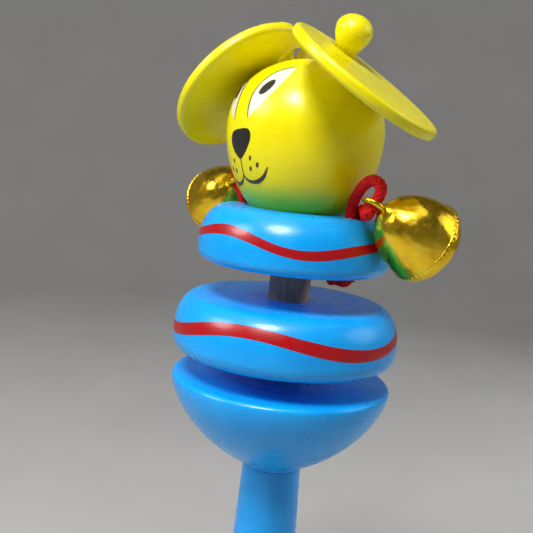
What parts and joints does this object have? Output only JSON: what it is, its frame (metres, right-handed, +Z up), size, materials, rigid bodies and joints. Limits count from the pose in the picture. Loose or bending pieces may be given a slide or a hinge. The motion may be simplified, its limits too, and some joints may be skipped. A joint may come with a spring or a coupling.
{
  "type": "wooden bell rattle",
  "caption": "Hand-held painted wooden rattle with a turned handle, half-ball base, loose clapper disc, puppy head with floppy disc ears and jingle bells on cords.",
  "frame": {"origin": "on the stick's axis, at the middle of the parallel grip of the handle", "axes": "+Z up the stick to the head, the face looks along -Y, the toy's left side is +X"},
  "size_m": [0.0769, 0.052, 0.2016],
  "materials": {
    "blue_paint": "glossy sky-blue paint on turned wood",
    "yellow_paint": "glossy lemon-yellow paint on turned wood",
    "plain_wood": "unpainted wood",
    "red_cord": "braided cord",
    "bell_brass": "polished gold plating",
    "steel": "plain steel"
  },
  "bodies": {
    "stick": {"handle": "blue_paint", "base_half_ball": "blue_paint", "dowel": "plain_wood", "collar_disc": "blue_paint", "head": "yellow_paint", "left_ear_peg": "yellow_paint", "right_ear_peg": "yellow_paint", "left_cord": "red_cord", "right_cord": "red_cord", "left_cord_knot": "red_cord", "right_cord_knot": "red_cord"},
    "clapper": {"clapper_disc": "blue_paint"},
    "left_ear": {"left_ear": "yellow_paint"},
    "right_ear": {"right_ear": "yellow_paint"},
    "left_bell": {"left_bell_cap": "bell_brass", "left_bell_base": "bell_brass", "left_bell_ring": "bell_brass"},
    "right_bell": {"right_bell_cap": "bell_brass", "right_bell_base": "bell_brass", "right_bell_ring": "bell_brass"},
    "left_pellet": {"left_bell_pellet": "steel"},
    "right_pellet": {"right_bell_pellet": "steel"}
  },
  "joints": [
    {"name": "clapper_slide", "type": "slide", "parent": "stick", "child": "clapper", "axis": [0, 0, 1], "range_m": [-0.005, 0.0048]},
    {"name": "left_ear_turn", "type": "hinge", "parent": "stick", "child": "left_ear", "pos_m": [0.0096, 0, 0.16822], "axis": [0.4384, 0, 0.8988], "range_deg": [-40, 60]},
    {"name": "right_ear_turn", "type": "hinge", "parent": "stick", "child": "right_ear", "pos_m": [-0.0096, 0, 0.16822], "axis": [0.4384, 0, -0.8988], "range_deg": [-12, 50]},
    {"name": "left_bell_swing", "type": "hinge", "parent": "stick", "child": "left_bell", "pos_m": [0.0259, 0.0001, 0.1412], "axis": [0.0897, 0.4656, 0.8805], "range_deg": [-100, 0]},
    {"name": "right_bell_swing", "type": "hinge", "parent": "stick", "child": "right_bell", "pos_m": [-0.0202, -0.0043, 0.1412], "axis": [-0.3879, 0.0989, 0.9164], "range_deg": [-14, 75]},
    {"name": "left_pellet_rattle", "type": "slide", "parent": "left_bell", "child": "left_pellet", "axis": [0, 0, 1], "range_m": [0, 0.0095]},
    {"name": "right_pellet_rattle", "type": "slide", "parent": "right_bell", "child": "right_pellet", "axis": [0, 0, 1], "range_m": [0, 0.0095]}
  ]
}
